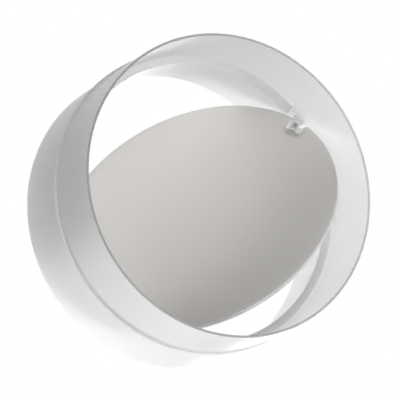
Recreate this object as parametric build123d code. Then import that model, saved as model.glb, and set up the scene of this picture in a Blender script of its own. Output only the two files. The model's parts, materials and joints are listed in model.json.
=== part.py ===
from build123d import *
from math import sqrt
import os

# A duct non-return valve: a short moulded ring that joins two round ducts, with one flap hung on a
# hinge above the duct's centre. Air that flows along +Y swings the flap open, and gravity shuts it.
# Millimetres. The origin is the centre of the inlet end, +Y runs with the air and +Z is up. The
# pieces are drawn about the ring's mid-length, where the shut flap lies, and moved there at the end.

# Ring
spigot_radius = 62.0          # outside radius of both ends, a loose fit in a 125 mm duct
ring_length = 62.0
rim_wall = 1.0                # wall at the two ends
middle_wall = 1.2             # wall at mid-length, thicker because the bore is drafted both ways
rim_bevel = 0.3
bead_height = 1.0             # the bead round the outside that both ducts butt against
bead_width = 1.8
bead_bevel = 0.45

# Flap
flap_side_gap = 1.0           # between the flap's edge and the narrowest part of the bore
flap_thickness = 1.8
flap_edge_bevel = 0.45
flap_open_angle = 51.0        # degrees from shut, as it stands at rest
hinge_height = 14.1           # hinge line above the duct axis

# Half seats: one in front of the flap below the hinge, one behind it above the hinge
seat_thickness = 1.4
seat_lap = 2.5                # how far each seat covers the flap's edge
seat_clearance = 0.15
seat_end_gap = 5.9            # from the hinge line to the end of each half seat
seat_bevel = 0.3

# Pegs moulded on the bore, one at each end of the hinge line
peg_radius = 1.1
peg_engagement = 1.4          # length of peg inside its socket
peg_tip_chamfer = 0.3
peg_boss_radius = 2.4
peg_boss_height = 1.5

# Clips that hold the flap's edge and turn on the pegs. Each span is two heights from the hinge line.
peg_clearance = 0.05          # between peg and socket, all round
end_play = 0.3                # between each peg's boss and the clip's socket
socket_wall = 0.65
socket_length = 3.3
collar_length = 1.0           # closed end of the socket, which the peg turns in
socket_mouth = 1.8            # opening along the rest of the socket
mouth_angle = 40.0            # degrees up from straight ahead, with the flap shut
clip_bridge = 1.2             # from the flap's edge to the socket
bridge_set_back = 0.6         # from the flap's front face to the bridge's
bridge_span = (-1.8, 4.6)
clip_cheek = 0.6              # thickness of the clip over each face of the flap
front_grip = 1.5              # how far the front cheek reaches over the flap
front_span = (3.2, 5.9)
rear_grip = 2.8
rear_span = (-2.0, 5.2)
clip_round = 0.4

# Notches in the flap that leave room for the clips' sockets
notch_span = (-2.9, 4.8)
notch_low_round = 0.5
notch_high_round = 1.8

pick_tolerance = 0.01         # for corners picked by where they are

bore_radius = spigot_radius - middle_wall
flap_radius = bore_radius - flap_side_gap
wall_at_hinge = sqrt(bore_radius ** 2 - hinge_height ** 2)
boss_face = wall_at_hinge - peg_boss_height
socket_end = boss_face - end_play
socket_root = socket_end - socket_length
notch_floor = socket_root - clip_bridge
socket_radius = peg_radius + peg_clearance + socket_wall
seat_radius = flap_radius - seat_lap
seat_face = flap_thickness / 2 + seat_clearance
hinge_line = Axis((0, 0, hinge_height), (1, 0, 0))


def turned(profile):
    """Revolve a face drawn with X as radius and Y along the duct about the duct axis."""
    return revolve(profile, axis=Axis.Y)


def ring_shell():
    """Wall of the ring: straight outside with a bead, and a bore that widens towards both ends."""
    end = ring_length / 2
    bead_edge = bead_width / 2
    bead_radius = spigot_radius + bead_height
    rim_bore = spigot_radius - rim_wall
    outline = [
        (spigot_radius, -end), (spigot_radius, -bead_edge), (bead_radius, -bead_edge),
        (bead_radius, bead_edge), (spigot_radius, bead_edge), (spigot_radius, end),
        (rim_bore, end), (bore_radius, 0), (rim_bore, -end),
    ]
    profile = make_face(Polyline(*outline, close=True))
    rims = [v for v in profile.vertices() if abs(v.Y) > end - pick_tolerance]
    profile = chamfer(rims, rim_bevel)
    crest = [v for v in profile.vertices() if v.X > bead_radius - pick_tolerance]
    return turned(chamfer(crest, bead_bevel))


def half_seat(side):
    """Half ring that the flap's edge shuts against: side -1 is below the hinge, +1 above it."""
    wall_middle = spigot_radius - middle_wall / 2
    near = seat_face
    far = seat_face + seat_thickness
    outline = [(seat_radius, side * near), (seat_radius, side * far),
               (wall_middle, side * far), (wall_middle, side * near)]
    profile = make_face(Polyline(*outline, close=True))
    lip = [v for v in profile.vertices() if v.X < seat_radius + pick_tolerance]
    seat = turned(chamfer(lip, seat_bevel))
    cut_height = hinge_height + side * seat_end_gap
    kept = Keep.TOP if side > 0 else Keep.BOTTOM
    return split(seat, bisect_by=Plane.XY.offset(cut_height), keep=kept)


def along_hinge(radius, start, stop):
    """Round bar on the hinge line from x = start to x = stop."""
    plane = Plane((start, 0, hinge_height), x_dir=(0, 1, 0), z_dir=(1, 0, 0))
    return extrude(plane * Circle(radius), stop - start)


def peg():
    """Peg and its boss on the +X side of the bore."""
    wall_middle = sqrt((spigot_radius - middle_wall / 2) ** 2 - hinge_height ** 2)
    pin = along_hinge(peg_radius, socket_end - peg_engagement, wall_middle)
    tip = pin.edges().group_by(Axis.X)[0]
    return chamfer(tip, peg_tip_chamfer) + along_hinge(peg_boss_radius, boss_face, wall_middle)


def housing():
    """The ring with its half seats and pegs, moulded as one piece."""
    outside = extrude(Plane.XZ * Circle(spigot_radius), ring_length / 2, both=True)
    right = peg() & outside
    return ring_shell() + half_seat(-1) + half_seat(1) + right + mirror(right, about=Plane.YZ)


def flap_shut():
    """Flap in its shut position: a flat disc with a notch at each end of the hinge line."""
    upright = Plane.XZ.offset(-flap_thickness / 2)
    plate = upright * Circle(flap_radius)
    depth = flap_radius - notch_floor
    low, high = (hinge_height + height for height in notch_span)
    for end in (-1, 1):
        middle = Pos(end * (notch_floor + depth / 2), (low + high) / 2)
        plate -= upright * middle * Rectangle(depth, high - low)
    for height, corner_round in ((low, notch_low_round), (high, notch_high_round)):
        level = [v for v in plate.vertices() if abs(v.Z - height) < pick_tolerance]
        outer = [v for v in level if abs(v.X) > notch_floor + pick_tolerance]
        plate = fillet(outer, corner_round)
    plate = extrude(plate, flap_thickness)
    edges = plate.faces().filter_by(Axis.Y).edges()
    return chamfer(edges, flap_edge_bevel)


def block(reach, depth, span):
    """Box between two values of X, two of Y, and two heights from the hinge line."""
    ends = [reach, depth, [hinge_height + height for height in span]]
    middle = [(low + high) / 2 for low, high in ends]
    return Pos(*middle) * Box(*[high - low for low, high in ends])


def clip_socket():
    """Socket with a closed collar at its outer end and a mouth along the rest."""
    shell = along_hinge(socket_radius, socket_root, socket_end)
    bore = along_hinge(peg_radius + peg_clearance, socket_root, socket_end)
    mouth = block((socket_root, socket_end - collar_length), (-socket_radius, 0),
                  (-socket_mouth / 2, socket_mouth / 2))
    return shell - bore - mouth.rotate(hinge_line, -mouth_angle)


def clip_shut(end):
    """Clip on the flap's edge, at end +1 or -1 of the hinge, with its socket towards the wall."""
    face = flap_thickness / 2
    outside = face + clip_cheek
    bridge = block((notch_floor, socket_root), (bridge_set_back - face, outside), bridge_span)
    post = block((notch_floor, socket_root), (-outside, outside), (front_span[0], bridge_span[1]))
    front = block((notch_floor - front_grip, socket_root), (-outside, -face), front_span)
    rear = block((notch_floor - rear_grip, socket_root), (face, outside), rear_span)
    clip = bridge + post + clip_socket()
    for cheek in (front, rear):
        clip += fillet(cheek.edges().filter_by(Axis.Y), clip_round)
    return clip if end > 0 else mirror(clip, about=Plane.YZ)


def swung(shape):
    """Turn a piece from the shut position to the open one."""
    return shape.rotate(hinge_line, flap_open_angle)


def from_inlet(shape):
    """Move a piece drawn about mid-length so that y = 0 is the inlet end."""
    return Pos(0, ring_length / 2, 0) * shape


def main():
    """Build every piece and write one file for each."""
    pieces = {
        "housing": housing(),
        "flap": swung(flap_shut()),
        "hinge_clip_right": swung(clip_shut(1)),
        "hinge_clip_left": swung(clip_shut(-1)),
    }
    os.makedirs("parts", exist_ok=True)
    for name, shape in pieces.items():
        placed = from_inlet(shape)
        placed.label = name
        export_step(placed, f"parts/{name}.step")


main()
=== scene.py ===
"""The look of a duct non-return valve: a moulded ring, its flap, and the two clips of its hinge.

Sizes in the dataclasses are millimetres. Meshes are made in metres, in the frame of the CAD model:
the origin is the centre of the inlet end, +Y runs with the air and +Z is up.
"""

import json
import logging
import math
from collections.abc import Callable
from dataclasses import dataclass, field
from enum import Enum
from typing import Any

import bmesh
import bpy
from mathutils import Euler, Matrix, Vector

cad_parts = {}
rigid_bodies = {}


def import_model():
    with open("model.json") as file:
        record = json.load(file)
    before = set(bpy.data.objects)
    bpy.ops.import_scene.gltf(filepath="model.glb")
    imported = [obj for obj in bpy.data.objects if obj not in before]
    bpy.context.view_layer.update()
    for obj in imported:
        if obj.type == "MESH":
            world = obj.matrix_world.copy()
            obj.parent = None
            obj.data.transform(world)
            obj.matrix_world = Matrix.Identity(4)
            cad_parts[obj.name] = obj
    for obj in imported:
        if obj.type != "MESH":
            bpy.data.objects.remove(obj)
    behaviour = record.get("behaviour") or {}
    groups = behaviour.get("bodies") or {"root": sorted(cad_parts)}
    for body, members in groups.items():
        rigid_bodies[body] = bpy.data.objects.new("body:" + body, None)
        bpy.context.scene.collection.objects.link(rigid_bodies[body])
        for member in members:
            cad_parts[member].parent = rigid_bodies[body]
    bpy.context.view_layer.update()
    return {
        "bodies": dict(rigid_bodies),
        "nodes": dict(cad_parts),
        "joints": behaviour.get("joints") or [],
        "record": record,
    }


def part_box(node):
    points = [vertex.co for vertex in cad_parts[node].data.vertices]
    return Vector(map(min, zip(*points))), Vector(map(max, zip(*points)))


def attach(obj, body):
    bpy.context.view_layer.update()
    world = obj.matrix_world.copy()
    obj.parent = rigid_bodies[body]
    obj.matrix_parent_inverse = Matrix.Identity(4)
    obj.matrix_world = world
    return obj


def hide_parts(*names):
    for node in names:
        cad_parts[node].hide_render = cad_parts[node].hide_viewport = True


MM = 0.001
IMAGE_SIDE_PX = 400
SENSOR_MM = 36.0
QUARTER_TURN = math.pi / 2
HALF_TURN = math.pi
FLAP_THICKNESS_MM = 1.8
NOISE_DETAIL = 2.0

# The colour sockets of a Mix node go by number, because its hidden sockets have the same names.
MIX_FACTOR = 0
MIX_FIRST = 6
MIX_SECOND = 7
MIX_RESULT = 2

logging.basicConfig(level=logging.INFO, format="%(message)s")
log = logging.getLogger("duct valve")


class Body(Enum):
    """The two bodies of the valve that move against each other."""

    RING = "ring"
    FLAP = "flap"


class End(Enum):
    """The two ends of the hinge line, by the sign of their X."""

    RIGHT = 1
    LEFT = -1


def linear(hex_colour: str) -> tuple[float, float, float, float]:
    """Turns an sRGB hex colour into linear light.

    Args:
        hex_colour: Six hex digits after a hash sign.

    Returns:
        Red, green, blue and an alpha of 1.
    """
    levels = [int(hex_colour[i:i + 2], 16) / 255 for i in (1, 3, 5)]
    red, green, blue = (
        v / 12.92 if v <= 0.04045 else ((v + 0.055) / 1.055) ** 2.4 for v in levels
    )
    return red, green, blue, 1.0


def add_node(
    tree: bpy.types.NodeTree,
    kind: str,
    settings: dict[str, Any] | None = None,
    inputs: dict[str | int, Any] | None = None,
) -> bpy.types.Node:
    """Adds one node to a tree, with its settings and its links.

    Args:
        tree: Shader or geometry tree that gets the node.
        kind: The node's type name.
        settings: Attributes of the node itself.
        inputs: A value, or another node's output, for each named or numbered input.

    Returns:
        The new node.
    """
    node = tree.nodes.new(kind)
    for name, value in (settings or {}).items():
        setattr(node, name, value)
    for name, value in (inputs or {}).items():
        if isinstance(value, bpy.types.NodeSocket):
            tree.links.new(value, node.inputs[name])
        else:
            node.inputs[name].default_value = value
    return node


PaintedLightMask = Callable[[bpy.types.NodeTree, bpy.types.Node], bpy.types.NodeSocket]


@dataclass(frozen=True)
class MouldedPlastic:
    """A moulded plastic: its colour, its gloss and the fine unevenness that the mould leaves.

    The part of the light that its translucency lets in, 0 to 1, spreads by glow_depth_mm inside.
    An edge colour, where given, is painted light on the marked edges: painted shade on the ring's
    rims, a painted highlight on the flap's edge.
    """

    name: str
    colour: str
    roughness: float
    ior: float
    grain_mm: float
    grain_depth_mm: float
    wave_mm: float
    wave_depth_mm: float
    translucency: float = 0.0
    glow_depth_mm: float = 1.0
    edge_colour: str | None = None

    def material(self, edges: PaintedLightMask | None = None) -> bpy.types.Material:
        """Makes the material, with the slow waves and the grain of the skin as bumps.

        Args:
            edges: Adds nodes that give 1 on the piece's edges, which get the edge colour as
                painted
            light, and 0 elsewhere. Without it, all is in the plain colour.

        Returns:
            The material.
        """
        material = bpy.data.materials.new(self.name)
        material.use_nodes = True
        tree = material.node_tree
        shader = tree.nodes["Principled BSDF"]
        shader.inputs["Base Color"].default_value = linear(self.colour)
        shader.inputs["Roughness"].default_value = self.roughness
        shader.inputs["IOR"].default_value = self.ior
        shader.inputs["Subsurface Weight"].default_value = self.translucency
        shader.inputs["Subsurface Radius"].default_value = (1.0, 1.0, 1.0)
        shader.inputs["Subsurface Scale"].default_value = self.glow_depth_mm * MM
        material.diffuse_color = linear(self.colour)
        place = add_node(tree, "ShaderNodeTexCoord")
        # The edge colour is painted light: painted shade on the ring's rims, a painted highlight
        # on the flap's edge.
        if edges and self.edge_colour:
            colours = {
                MIX_FACTOR: edges(tree, place),
                MIX_FIRST: linear(self.colour),
                MIX_SECOND: linear(self.edge_colour),
            }
            mixed = add_node(tree, "ShaderNodeMix", {"data_type": "RGBA"}, colours)
            tree.links.new(mixed.outputs[MIX_RESULT], shader.inputs["Base Color"])
        relief: dict[str | int, Any] = {}
        for size_mm, depth_mm in (
            (self.wave_mm, self.wave_depth_mm),
            (self.grain_mm, self.grain_depth_mm),
        ):
            pattern = {
                "Vector": place.outputs["Object"],
                "Scale": 1 / (size_mm * MM),
                "Detail": NOISE_DETAIL,
            }
            noise = add_node(tree, "ShaderNodeTexNoise", inputs=pattern)
            relief.update({"Height": noise.outputs["Fac"], "Distance": depth_mm * MM})
            bump = add_node(tree, "ShaderNodeBump", inputs=relief)
            relief["Normal"] = bump.outputs["Normal"]
        tree.links.new(relief["Normal"], shader.inputs["Normal"])
        return material


# Polypropylene from a smooth mould: white with an even satin gloss, and very slow waves over the
# walls. Thin as they are, the walls let light through. The rims are painted grey, a painted shade.
RING_FINISH = MouldedPlastic(
    name="white_moulded_polypropylene",
    colour="#F4F4F4",
    roughness=0.38,
    ior=1.49,
    grain_mm=0.9,
    grain_depth_mm=0.002,
    wave_mm=14.0,
    wave_depth_mm=0.03,
    translucency=1.0,
    glow_depth_mm=10.0,
    # Painted shade: the rim faces are coloured grey for the shade that falls on them.
    edge_colour="#A0A0A0",
)

# Polypropylene from a fine-blasted mould: a light grey, faintly warm, with a dull sheen, a fine
# grain and a soft glow of the light behind it. Its edge is painted near-white, a painted
# highlight.
FLAP_FINISH = MouldedPlastic(
    name="grey_fine_blasted_polypropylene",
    colour="#D0CDCA",
    roughness=0.5,
    ior=1.49,
    grain_mm=0.7,
    grain_depth_mm=0.003,
    wave_mm=18.0,
    wave_depth_mm=0.03,
    translucency=1.0,
    glow_depth_mm=9.0,
    # Painted highlight: the flap's edge is coloured near-white for the light it catches.
    edge_colour="#FDFDFC",
)

# Natural acetal as moulded: a clean opaque white that keeps small edges bright.
CLIP_FINISH = MouldedPlastic(
    name="natural_moulded_acetal",
    colour="#F8F8F6",
    roughness=0.32,
    ior=1.48,
    grain_mm=0.6,
    grain_depth_mm=0.002,
    wave_mm=5.0,
    wave_depth_mm=0.01,
)


def plain_mesh(source: bpy.types.Object, name: str) -> bpy.types.Object:
    """Turns an object and its modifiers into a plain mesh object of its own.

    Args:
        source: Object with live modifiers. It is removed.
        name: Name for the new object.

    Returns:
        The finished object, at the origin.
    """
    graph = bpy.context.evaluated_depsgraph_get()
    mesh = bpy.data.meshes.new_from_object(source.evaluated_get(graph), depsgraph=graph)
    bpy.data.objects.remove(source)
    mesh.name = name
    finished = bpy.data.objects.new(name, mesh)
    bpy.context.scene.collection.objects.link(finished)
    return finished


def object_of(mesh: bmesh.types.BMesh, name: str) -> bpy.types.Object:
    """Puts a closed mesh into the scene.

    Args:
        mesh: The mesh, in metres. It is freed.
        name: Name for the new object.

    Returns:
        The object, its faces outwards and its rounds smooth.
    """
    bmesh.ops.recalc_face_normals(mesh, faces=mesh.faces)
    for face in mesh.faces:
        face.smooth = True
    data = bpy.data.meshes.new(name)
    mesh.to_mesh(data)
    mesh.free()
    made = bpy.data.objects.new(name, data)
    bpy.context.scene.collection.objects.link(made)
    return made


def one_moulding(
    pieces: list[bmesh.types.BMesh], name: str, material: bpy.types.Material, place: Matrix
) -> bpy.types.Object:
    """Unites closed meshes into one skin, whose flats stay flat and whose rounds look round.

    Args:
        pieces: Closed meshes in metres, the main one first. They are freed.
        name: Name for the new object.
        material: The finish of the whole.
        place: Where the whole goes in the CAD model's frame.

    Returns:
        The finished object, at the origin.
    """
    whole, *additions = [object_of(piece, name) for piece in pieces]
    for addition in additions:
        union = whole.modifiers.new("union", "BOOLEAN")
        union.operation = "UNION"
        union.solver = "MANIFOLD"
        union.object = addition
    if additions:
        whole = plain_mesh(whole, name)
    for addition in additions:
        bpy.data.objects.remove(addition)
    whole.data.transform(place)
    whole.data.materials.clear()
    whole.data.materials.append(material)
    flats = whole.modifiers.new("flats", "WEIGHTED_NORMAL")
    flats.mode = "FACE_AREA"
    return plain_mesh(whole, name)


def lofted(rings: list[list[Vector]]) -> bmesh.types.BMesh:
    """Skins a row of closed rings that all have the same number of points.

    Args:
        rings: The rings in order, each a list of points. The first and the last get a cap.

    Returns:
        The closed mesh.
    """
    mesh = bmesh.new()
    rows = [[mesh.verts.new(point) for point in ring] for ring in rings]
    count = len(rings[0])
    for row, following in zip(rows, rows[1:]):
        for i in range(count):
            j = (i + 1) % count
            mesh.faces.new((row[i], row[j], following[j], following[i]))
    mesh.faces.new(list(reversed(rows[0])))
    mesh.faces.new(rows[-1])
    return mesh


def arc(
    centre: tuple[float, float], radius: float, start: float, stop: float, steps: int
) -> list[tuple[float, float]]:
    """Points along an arc, both ends included.

    Args:
        centre: Centre of the arc.
        radius: Radius of the arc.
        start: First angle in radians.
        stop: Last angle in radians.
        steps: How many straight steps the arc has.

    Returns:
        The points as pairs.
    """
    angles = (start + (stop - start) * i / steps for i in range(steps + 1))
    return [
        (centre[0] + radius * math.cos(a), centre[1] + radius * math.sin(a)) for a in angles
    ]


@dataclass
class Frame:
    """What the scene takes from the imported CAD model, in millimetres and degrees."""

    spigot_radius: float
    bead_radius: float
    ring_length: float
    flap_radius: float
    hinge_y: float
    hinge_z: float
    open_angle: float

    @classmethod
    def from_model(cls, frame: dict[str, Any]) -> "Frame":
        """Reads the sizes from the loaded model.


        Returns:
            The sizes of this model.
        """
        low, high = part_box("housing")
        mounts = {mount["name"]: mount for mount in frame["record"]["mounts"]}
        (swing,) = frame["joints"]
        return cls(
            spigot_radius=mounts["outlet_spigot"]["dims"]["r_mm"],
            bead_radius=high.x / MM,
            ring_length=(high.y - low.y) / MM,
            flap_radius=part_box("flap")[1].x / MM,
            hinge_y=swing["pos_m"][1] / MM,
            hinge_z=swing["pos_m"][2] / MM,
            open_angle=-swing["range_deg"][0],
        )

    def mid_length(self) -> Matrix:
        """Moves a piece drawn about the ring's mid-length to its place in the model."""
        return Matrix.Translation((0, self.hinge_y * MM, 0))

    def swung(self) -> Matrix:
        """Turns a piece drawn with the flap shut to the flap's rest position.

        Returns:
            The turn about the hinge line and the move to the piece's place.
        """
        hinge = Matrix.Translation((0, 0, self.hinge_z * MM))
        turn = Matrix.Rotation(math.radians(self.open_angle), 4, "X")
        return self.mid_length() @ hinge @ turn @ hinge.inverted()


@dataclass
class Ring:
    """The ring with its bead, half seats and pegs, moulded as one piece.

    peg_tip is counted along the hinge line, from the middle of the duct.
    """

    frame: Frame
    rim_wall: float = 1.0
    middle_wall: float = 1.2
    rim_round: float = 0.3
    bead_width: float = 1.8
    bead_round: float = 0.45
    round_steps: int = 4
    segments: int = 432
    seat_clearance: float = 0.15
    seat_thickness: float = 1.4
    seat_lap: float = 2.5
    seat_end_gap: float = 5.9
    seat_round: float = 0.3
    seat_root_slope: float = 0.3
    peg_radius: float = 1.1
    peg_tip: float = 55.94
    peg_tip_chamfer: float = 0.3
    boss_radius: float = 2.4
    boss_height: float = 1.5
    boss_round: float = 0.25
    peg_segments: int = 48

    def sizes(self) -> dict[str, float | int]:
        """Lists the inputs of the wall's geometry tree.

        Returns:
            Lengths in metres and whole numbers, by the input's name.
        """
        return {
            "Radius": self.frame.spigot_radius * MM,
            "Length": self.frame.ring_length * MM,
            "Rim wall": self.rim_wall * MM,
            "Middle wall": self.middle_wall * MM,
            "Bead height": (self.frame.bead_radius - self.frame.spigot_radius) * MM,
            "Bead width": self.bead_width * MM,
            "Rim round": self.rim_round * MM,
            "Bead round": self.bead_round * MM,
            "Segments": self.segments,
            "Round steps": self.round_steps,
        }

    def sweep_tree(self, material: bpy.types.Material) -> bpy.types.NodeTree:
        """Makes the geometry tree that turns the wall's outline about the duct axis.

        Args:
            material: The finish of the ring.

        Returns:
            A tree with a named input for each size.
        """
        tree = bpy.data.node_groups.new("turned_ring", "GeometryNodeTree")
        for name, value in self.sizes().items():
            kind = "NodeSocketInt" if isinstance(value, int) else "NodeSocketFloat"
            tree.interface.new_socket(name=name, in_out="INPUT", socket_type=kind)
        tree.interface.new_socket(name="Ring", in_out="OUTPUT", socket_type="NodeSocketGeometry")
        size = add_node(tree, "NodeGroupInput").outputs
        inlet, outlet, bead_front, bead_back, rim, middle = (
            add_node(
                tree, "ShaderNodeMath", {"operation": "MULTIPLY"}, {0: size[name], 1: factor}
            ).outputs[0]
            for name, factor in (
                ("Length", -0.5),
                ("Length", 0.5),
                ("Bead width", -0.5),
                ("Bead width", 0.5),
                ("Rim wall", -1.0),
                ("Middle wall", -1.0),
            )
        )
        # Each corner is a distance outwards from the ring's radius, a place along the duct from
        # mid-length, and the name of the input that rounds it.
        corners = (
            (0.0, inlet, "Rim round"),
            (0.0, bead_front, None),
            (size["Bead height"], bead_front, "Bead round"),
            (size["Bead height"], bead_back, "Bead round"),
            (0.0, bead_back, None),
            (0.0, outlet, "Rim round"),
            (rim, outlet, "Rim round"),
            (middle, 0.0, None),
            (rim, inlet, "Rim round"),
        )
        index = add_node(tree, "GeometryNodeInputIndex").outputs[0]
        place, rounding = (
            add_node(tree, "GeometryNodeIndexSwitch", {"data_type": kind}, {"Index": index})
            for kind in ("VECTOR", "FLOAT")
        )
        for number, (outward, along, round_name) in enumerate(corners):
            for switch in (place, rounding):
                if number >= len(switch.index_switch_items):
                    switch.index_switch_items.new()
            corner = add_node(tree, "ShaderNodeCombineXYZ", inputs={"X": outward, "Y": along})
            tree.links.new(corner.outputs[0], place.inputs[str(number)])
            if round_name:
                tree.links.new(size[round_name], rounding.inputs[str(number)])
        outline = add_node(
            tree, "GeometryNodeCurvePrimitiveCircle", inputs={"Resolution": len(corners)}
        )
        placed = add_node(
            tree,
            "GeometryNodeSetPosition",
            inputs={"Geometry": outline.outputs[0], "Position": place.outputs[0]},
        )
        rounded = add_node(
            tree,
            "GeometryNodeFilletCurve",
            {"mode": "POLY"},
            {
                "Curve": placed.outputs[0],
                "Count": size["Round steps"],
                "Radius": rounding.outputs[0],
            },
        )
        path = add_node(
            tree,
            "GeometryNodeCurvePrimitiveCircle",
            inputs={"Resolution": size["Segments"], "Radius": size["Radius"]},
        )
        turned = add_node(
            tree,
            "GeometryNodeCurveToMesh",
            inputs={"Curve": path.outputs[0], "Profile Curve": rounded.outputs[0]},
        )
        upright = add_node(
            tree,
            "GeometryNodeTransform",
            inputs={"Geometry": turned.outputs[0], "Rotation": Euler((QUARTER_TURN, 0, 0))},
        )
        real = add_node(tree, "GeometryNodeRealizeInstances", inputs={0: upright.outputs[0]})
        dressed = add_node(
            tree,
            "GeometryNodeSetMaterial",
            inputs={"Geometry": real.outputs[0], "Material": material},
        )
        add_node(tree, "NodeGroupOutput", inputs={0: dressed.outputs[0]})
        return tree

    def shell(self, material: bpy.types.Material) -> bmesh.types.BMesh:
        """Makes the wall with its bead.

        Args:
            material: The finish of the ring.

        Returns:
            The closed wall, about the ring's mid-length.
        """
        tree = self.sweep_tree(material)
        draft = bpy.data.objects.new("shell", bpy.data.meshes.new("shell"))
        bpy.context.scene.collection.objects.link(draft)
        modifier = draft.modifiers.new("turned", "NODES")
        modifier.node_group = tree
        sizes = self.sizes()
        for item in tree.interface.items_tree:
            if item.in_out == "INPUT":
                modifier[item.identifier] = sizes[item.name]
        finished = plain_mesh(draft, "shell")
        mesh = bmesh.new()
        mesh.from_mesh(finished.data)
        bpy.data.objects.remove(finished)
        return mesh

    def seat(self, side: int) -> bmesh.types.BMesh:
        """Makes one half seat.

        Args:
            side: -1 for the one below the hinge, in front of the flap, or +1 for the one above
                it, behind the flap.

        Returns:
            The closed half ring, about the ring's mid-length.
        """
        near = FLAP_THICKNESS_MM / 2 + self.seat_clearance
        far = near + self.seat_thickness
        inner = self.frame.flap_radius - self.seat_lap
        bore = self.frame.spigot_radius - self.middle_wall
        sunk = self.middle_wall / 2
        lip, root = self.seat_round, self.seat_root_slope
        outline = (
            [(bore + sunk, near - root - sunk), (bore - root, near)]
            + arc((inner + lip, near + lip), lip, -QUARTER_TURN, -HALF_TURN, self.round_steps)
            + arc((inner + lip, far - lip), lip, HALF_TURN, QUARTER_TURN, self.round_steps)
            + [(bore - root, far), (bore + sunk, far + root + sunk)]
        )
        cut = self.frame.hinge_z + side * self.seat_end_gap
        steps = self.segments // 2
        sections = []
        for step in range(steps + 1):
            section = []
            for radius, along in outline:
                rise = math.asin(cut / radius)
                first, last = rise, HALF_TURN - rise
                if side < 0:
                    first, last = last, math.tau + rise
                angle = first + (last - first) * step / steps
                section.append(
                    Vector((radius * math.cos(angle), side * along, radius * math.sin(angle))) * MM
                )
            sections.append(section)
        return lofted(sections)

    def peg(self, end: End) -> bmesh.types.BMesh:
        """Makes the peg and its boss at one end of the hinge line.

        Args:
            end: Which end of the hinge line.

        Returns:
            The closed peg and boss, about the ring's mid-length.
        """
        bore = self.frame.spigot_radius - self.middle_wall
        wall_middle = bore + self.middle_wall / 2
        boss_face = math.sqrt(bore ** 2 - self.frame.hinge_z ** 2) - self.boss_height
        chamfer, boss_round = self.peg_tip_chamfer, self.boss_round
        outline = (
            [(self.peg_radius - chamfer, self.peg_tip), (self.peg_radius, self.peg_tip + chamfer)]
            + [(self.peg_radius, boss_face)]
            + arc(
                (self.boss_radius - boss_round, boss_face + boss_round),
                boss_round, -QUARTER_TURN, 0, self.round_steps,
            )
        )
        rings = [[(x, y, z) for y, z in self.circle(radius)] for radius, x in outline]
        rings.append(
            [
                (math.sqrt(wall_middle ** 2 - z ** 2), y, z)
                for y, z in self.circle(self.boss_radius)
            ]
        )
        return lofted([[Vector((end.value * x, y, z)) * MM for x, y, z in ring] for ring in rings])

    def circle(self, radius: float) -> list[tuple[float, float]]:
        """Points round the hinge line, each as Y and Z."""
        return arc((0, self.frame.hinge_z), radius, 0, math.tau, self.peg_segments)[:-1]

    # The rims so marked get the grey edge colour, a painted shade.
    def rims(self, tree: bpy.types.NodeTree, place: bpy.types.Node) -> bpy.types.NodeSocket:
        """Marks the end faces of the ring and their small rounds.

        Args:
            tree: The material's node tree.
            place: Its texture coordinates.

        Returns:
            1 on the rims, which get a painted shade, and 0 elsewhere.
        """
        middle = self.frame.hinge_y * MM
        start = (self.frame.ring_length / 2 - self.rim_round) * MM
        point = add_node(tree, "ShaderNodeSeparateXYZ", inputs={0: place.outputs["Object"]})
        value = point.outputs["Y"]
        steps = (("SUBTRACT", middle), ("ABSOLUTE", 0.0), ("GREATER_THAN", start))
        for operation, number in steps:
            step = add_node(
                tree, "ShaderNodeMath", {"operation": operation}, {0: value, 1: number}
            )
            value = step.outputs[0]
        return value

    def build(self) -> None:
        """Makes the whole ring in place of its CAD node.

        Wall, half seats and pegs are united into one skin, as the ring is one moulding.
        """
        # The rims get the grey edge colour, a painted shade.
        material = RING_FINISH.material(self.rims)
        pieces = [self.shell(material), self.seat(-1), self.seat(1)]
        pieces += [self.peg(end) for end in End]
        ring = one_moulding(pieces, "moulded_ring", material, self.frame.mid_length())
        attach(ring, Body.RING.value)
        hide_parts("housing")
        log.info("ring: %d faces", len(ring.data.polygons))


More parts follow.
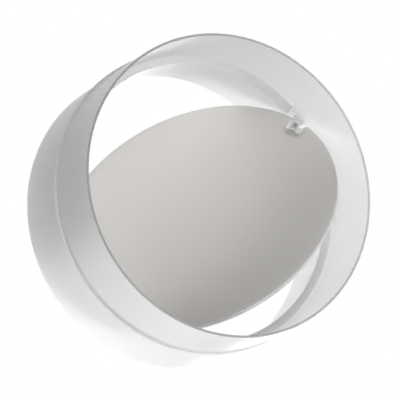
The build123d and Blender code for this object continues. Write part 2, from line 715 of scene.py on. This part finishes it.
@dataclass
class Flap:
    """The flap: a flat disc with a notch at each end of the hinge line.

    notch_floor is counted along the hinge line, from the middle of the duct, and notch_span in
    height from the hinge line.
    """

    frame: Frame
    edge_round: float = 0.45
    notch_floor: float = 52.84
    notch_span: tuple[float, float] = (-2.9, 4.8)
    notch_rounds: tuple[float, float] = (0.5, 1.8)
    round_steps: int = 4
    rim_steps: int = 144
    edge_facing: float = 0.7

    def outline(self, inset: float) -> list[tuple[float, float]]:
        """The flap's outline, drawn inwards by an inset.

        Args:
            inset: How far the outline lies inside the flap's edge.

        Returns:
            The points as X and Z.
        """
        radius = self.frame.flap_radius - inset
        floor = self.notch_floor - inset
        points: list[tuple[float, float]] = []
        for side, reach, rounding in zip((-1, 1), self.notch_span, self.notch_rounds):
            corner = rounding - inset
            edge = self.frame.hinge_z + reach + side * inset
            height = edge + side * corner
            across = math.sqrt((radius - corner) ** 2 - height ** 2)
            tangent = math.atan2(height, across)
            first = arc((across, height), corner, -side * QUARTER_TURN, tangent, self.round_steps)
            last = [(-x, z) for x, z in reversed(first)]
            rim_stop = side * HALF_TURN - tangent
            rim = arc((0, 0), radius, tangent, rim_stop, self.rim_steps)[1:-1]
            half_outline = [(floor, edge)] + first + rim + last + [(-floor, edge)]
            points += half_outline if side < 0 else list(reversed(half_outline))
        return points

    def plate(self) -> bmesh.types.BMesh:
        """Makes the flap in its shut position, with its edges rounded.

        Returns:
            The closed plate, about the ring's mid-length.
        """
        half = FLAP_THICKNESS_MM / 2
        turns = [QUARTER_TURN * i / self.round_steps for i in range(self.round_steps + 1)]
        levels = [
            (self.edge_round * (1 - math.sin(t)), half - self.edge_round * (1 - math.cos(t)))
            for t in turns
        ]
        levels = [(inset, -y) for inset, y in levels] + levels[::-1]
        return lofted(
            [[Vector((x, y, z)) * MM for x, z in self.outline(inset)] for inset, y in levels]
        )

    def edges(self, tree: bpy.types.NodeTree, place: bpy.types.Node) -> bpy.types.NodeSocket:
        """Marks the flap's edge, all that doesn't face the way its two flat faces do.

        The limit, edge_facing, is the cosine of a turn of about 45 degrees from those faces. The
        edge so marked gets a painted highlight.

        Args:
            tree: The material's node tree.
            place: Its texture coordinates.

        Returns:
            1 on the edge and 0 elsewhere.
        """
        across = self.frame.swung().to_3x3() @ Vector((0, 1, 0))
        facing = add_node(
            tree,
            "ShaderNodeVectorMath",
            {"operation": "DOT_PRODUCT"},
            {0: place.outputs["Normal"], 1: across},
        )
        value = facing.outputs["Value"]
        for operation, number in (("ABSOLUTE", 0.0), ("LESS_THAN", self.edge_facing)):
            step = add_node(
                tree, "ShaderNodeMath", {"operation": operation}, {0: value, 1: number}
            )
            value = step.outputs[0]
        return value

    def build(self) -> None:
        """Makes the flap in place of its CAD node.

        It is drawn shut and then turned to its rest position.
        """
        # The flap's edge gets the near-white edge colour, a painted highlight.
        material = FLAP_FINISH.material(self.edges)
        flap = one_moulding([self.plate()], "flap_plate", material, self.frame.swung())
        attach(flap, Body.FLAP.value)
        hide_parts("flap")
        log.info("flap: %d faces", len(flap.data.polygons))


@dataclass
class HingeClip:
    """A clip that grips the flap's edge and turns on a peg. The CAD model's own mesh shows it."""

    end: End

    def dress(self, nodes: dict[str, bpy.types.Object]) -> None:
        """Gives the clip its finish.

        Args:
            nodes: The CAD model's objects by their names.
        """
        node = nodes[f"hinge_clip_{self.end.name.lower()}"]
        material = bpy.data.materials.get(CLIP_FINISH.name) or CLIP_FINISH.material()
        for slot in node.material_slots:
            slot.material = material
        log.info("%s: %d faces", node.name, len(node.data.polygons))


@dataclass(frozen=True)
class SoftBox:
    """A large soft lamp that hangs on one side of the valve and faces it."""

    name: str
    azimuth_deg: float
    elevation_deg: float
    power_w: float
    distance_m: float = 1.6
    side_m: float = 1.0

    def hang(self, target: Vector) -> None:
        """Makes the lamp and turns it to face the target.

        Args:
            target: The point that the lamp faces.
        """
        lamp = bpy.data.lights.new(self.name, "AREA")
        lamp.shape = "SQUARE"
        lamp.size = self.side_m
        lamp.energy = self.power_w
        away = direction(self.azimuth_deg, self.elevation_deg)
        holder = bpy.data.objects.new(self.name, lamp)
        holder.visible_camera = False
        holder.location = target + away * self.distance_m
        holder.rotation_euler = away.to_track_quat("Z", "Y").to_euler()
        bpy.context.scene.collection.objects.link(holder)


def direction(azimuth_deg: float, elevation_deg: float) -> Vector:
    """Unit vector away from the valve.

    Args:
        azimuth_deg: Degrees from -Y, the inlet's side, towards +X.
        elevation_deg: Degrees above the horizon.

    Returns:
        The direction in the model's frame.
    """
    azimuth, elevation = math.radians(azimuth_deg), math.radians(elevation_deg)
    level = math.cos(elevation)
    return Vector(
        (math.sin(azimuth) * level, -math.cos(azimuth) * level, math.sin(elevation))
    )


@dataclass
class Studio:
    """The pale floor, the soft lamps, the white surroundings and the camera.

    The camera stands and looks as the outlines of both rims in the photograph tell, through a
    long lens.
    """

    target_mm: tuple[float, float, float] = (0.0, 31.0, 0.0)
    floor_depth_m: float = 1.5
    floor_side_m: float = 12.0
    floor_colour: str = "#C8C8C8"
    floor_roughness: float = 0.9
    floor_glow: float = 0.8
    surroundings: float = 0.1
    lamps: list[SoftBox] = field(
        default_factory=lambda: [
            SoftBox("lamp_front", azimuth_deg=5.0, elevation_deg=-5.0, power_w=6.0),
            SoftBox("lamp_right", azimuth_deg=60.0, elevation_deg=0.0, power_w=5.5),
            SoftBox("lamp_right_high", azimuth_deg=60.0, elevation_deg=35.0, power_w=8.5),
            SoftBox("lamp_back", azimuth_deg=150.0, elevation_deg=0.0, power_w=6.5),
            SoftBox("lamp_back_high", azimuth_deg=150.0, elevation_deg=35.0, power_w=6.5),
            SoftBox("lamp_back_left", azimuth_deg=210.0, elevation_deg=35.0, power_w=11.0),
            SoftBox("lamp_left", azimuth_deg=265.0, elevation_deg=-5.0, power_w=9.0),
            SoftBox("lamp_top", azimuth_deg=240.0, elevation_deg=70.0, power_w=12.0),
        ]
    )
    camera_at_m: tuple[float, float, float] = (0.6213, -1.2091, -0.2599)
    camera_forward: tuple[float, float, float] = (-0.44096, 0.87844, 0.18412)
    camera_up: tuple[float, float, float] = (-0.72992, -0.23161, -0.64310)
    focal_length_px: float = 3500.0

    def seen_directly(self, tree: bpy.types.NodeTree) -> bpy.types.NodeSocket:
        """Marks the rays that show a surface to the eye, straight or through gloss or glass.

        Args:
            tree: The node tree of a material or of the world.

        Returns:
            1 for such a ray and 0 for one that only brings light.
        """
        path = add_node(tree, "ShaderNodeLightPath").outputs
        seen = path["Is Camera Ray"]
        for kind in ("Is Glossy Ray", "Is Transmission Ray"):
            either = add_node(
                tree, "ShaderNodeMath", {"operation": "MAXIMUM"}, {0: seen, 1: path[kind]}
            )
            seen = either.outputs[0]
        return seen

    def floor(self) -> None:
        """Lays a floor of matt pale paper well below the valve.

        It lies far from the lamps, so it gets a glow that only the eye sees, straight or in
        gloss. It looks pale and still takes the shadow.
        """
        half = self.floor_side_m / 2
        mesh = bpy.data.meshes.new("floor")
        corners = [(-half, -half), (half, -half), (half, half), (-half, half)]
        mesh.from_pydata([(x, y, -self.floor_depth_m) for x, y in corners], [], [(0, 1, 2, 3)])
        material = bpy.data.materials.new("matt_pale_paper")
        material.use_nodes = True
        tree = material.node_tree
        shader = tree.nodes["Principled BSDF"]
        shader.inputs["Base Color"].default_value = linear(self.floor_colour)
        shader.inputs["Roughness"].default_value = self.floor_roughness
        pale = add_node(tree, "ShaderNodeEmission", inputs={"Strength": self.floor_glow})
        both = add_node(
            tree, "ShaderNodeAddShader", inputs={0: shader.outputs[0], 1: pale.outputs[0]}
        )
        mixed = add_node(
            tree,
            "ShaderNodeMixShader",
            inputs={"Fac": self.seen_directly(tree), 1: shader.outputs[0], 2: both.outputs[0]},
        )
        tree.links.new(mixed.outputs[0], tree.nodes["Material Output"].inputs["Surface"])
        mesh.materials.append(material)
        floor = bpy.data.objects.new("floor", mesh)
        bpy.context.scene.collection.objects.link(floor)

    def white_surroundings(self) -> None:
        """Makes the world white to the eye and in gloss, and dim as a light.

        The lamps light the valve, and the world only fills their shadows.
        """
        world = bpy.data.worlds.new("studio")
        world.use_nodes = True
        bpy.context.scene.world = world
        tree = world.node_tree
        tree.nodes.clear()
        white = linear("#FFFFFF")
        dim, bright = (
            add_node(tree, "ShaderNodeBackground", inputs={"Color": white, "Strength": strength})
            for strength in (self.surroundings, 1.0)
        )
        mixed = add_node(
            tree,
            "ShaderNodeMixShader",
            inputs={"Fac": self.seen_directly(tree), 1: dim.outputs[0], 2: bright.outputs[0]},
        )
        add_node(tree, "ShaderNodeOutputWorld", inputs={"Surface": mixed.outputs[0]})

    def camera(self) -> None:
        """Sets up the camera at the photograph's viewing angle.

        Its local axes are right, up and backwards, in the columns of its matrix.
        """
        data = bpy.data.cameras.new("camera")
        data.sensor_width = SENSOR_MM
        data.lens = SENSOR_MM * self.focal_length_px / IMAGE_SIDE_PX
        forward = Vector(self.camera_forward).normalized()
        up = Vector(self.camera_up)
        right = forward.cross(up).normalized()
        axes = Matrix((right, right.cross(forward), -forward)).transposed()
        camera = bpy.data.objects.new("camera", data)
        camera.matrix_world = Matrix.Translation(self.camera_at_m) @ axes.to_4x4()
        bpy.context.scene.collection.objects.link(camera)
        bpy.context.scene.camera = camera

    def build(self) -> None:
        """Sets up everything round the valve.

        The lamps all face the middle of the ring.
        """
        target = Vector(self.target_mm) * MM
        self.floor()
        for lamp in self.lamps:
            lamp.hang(target)
        self.white_surroundings()
        self.camera()
        bpy.context.scene.view_settings.view_transform = "Standard"
        log.info("studio: %d lamps", len(self.lamps))


def main() -> None:
    """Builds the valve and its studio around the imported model.
    """
    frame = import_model()
    sizes = Frame.from_model(frame)
    Ring(sizes).build()
    Flap(sizes).build()
    for end in End:
        HingeClip(end).dress(frame["nodes"])
    Studio().build()


if __name__ == "__main__":
    main()
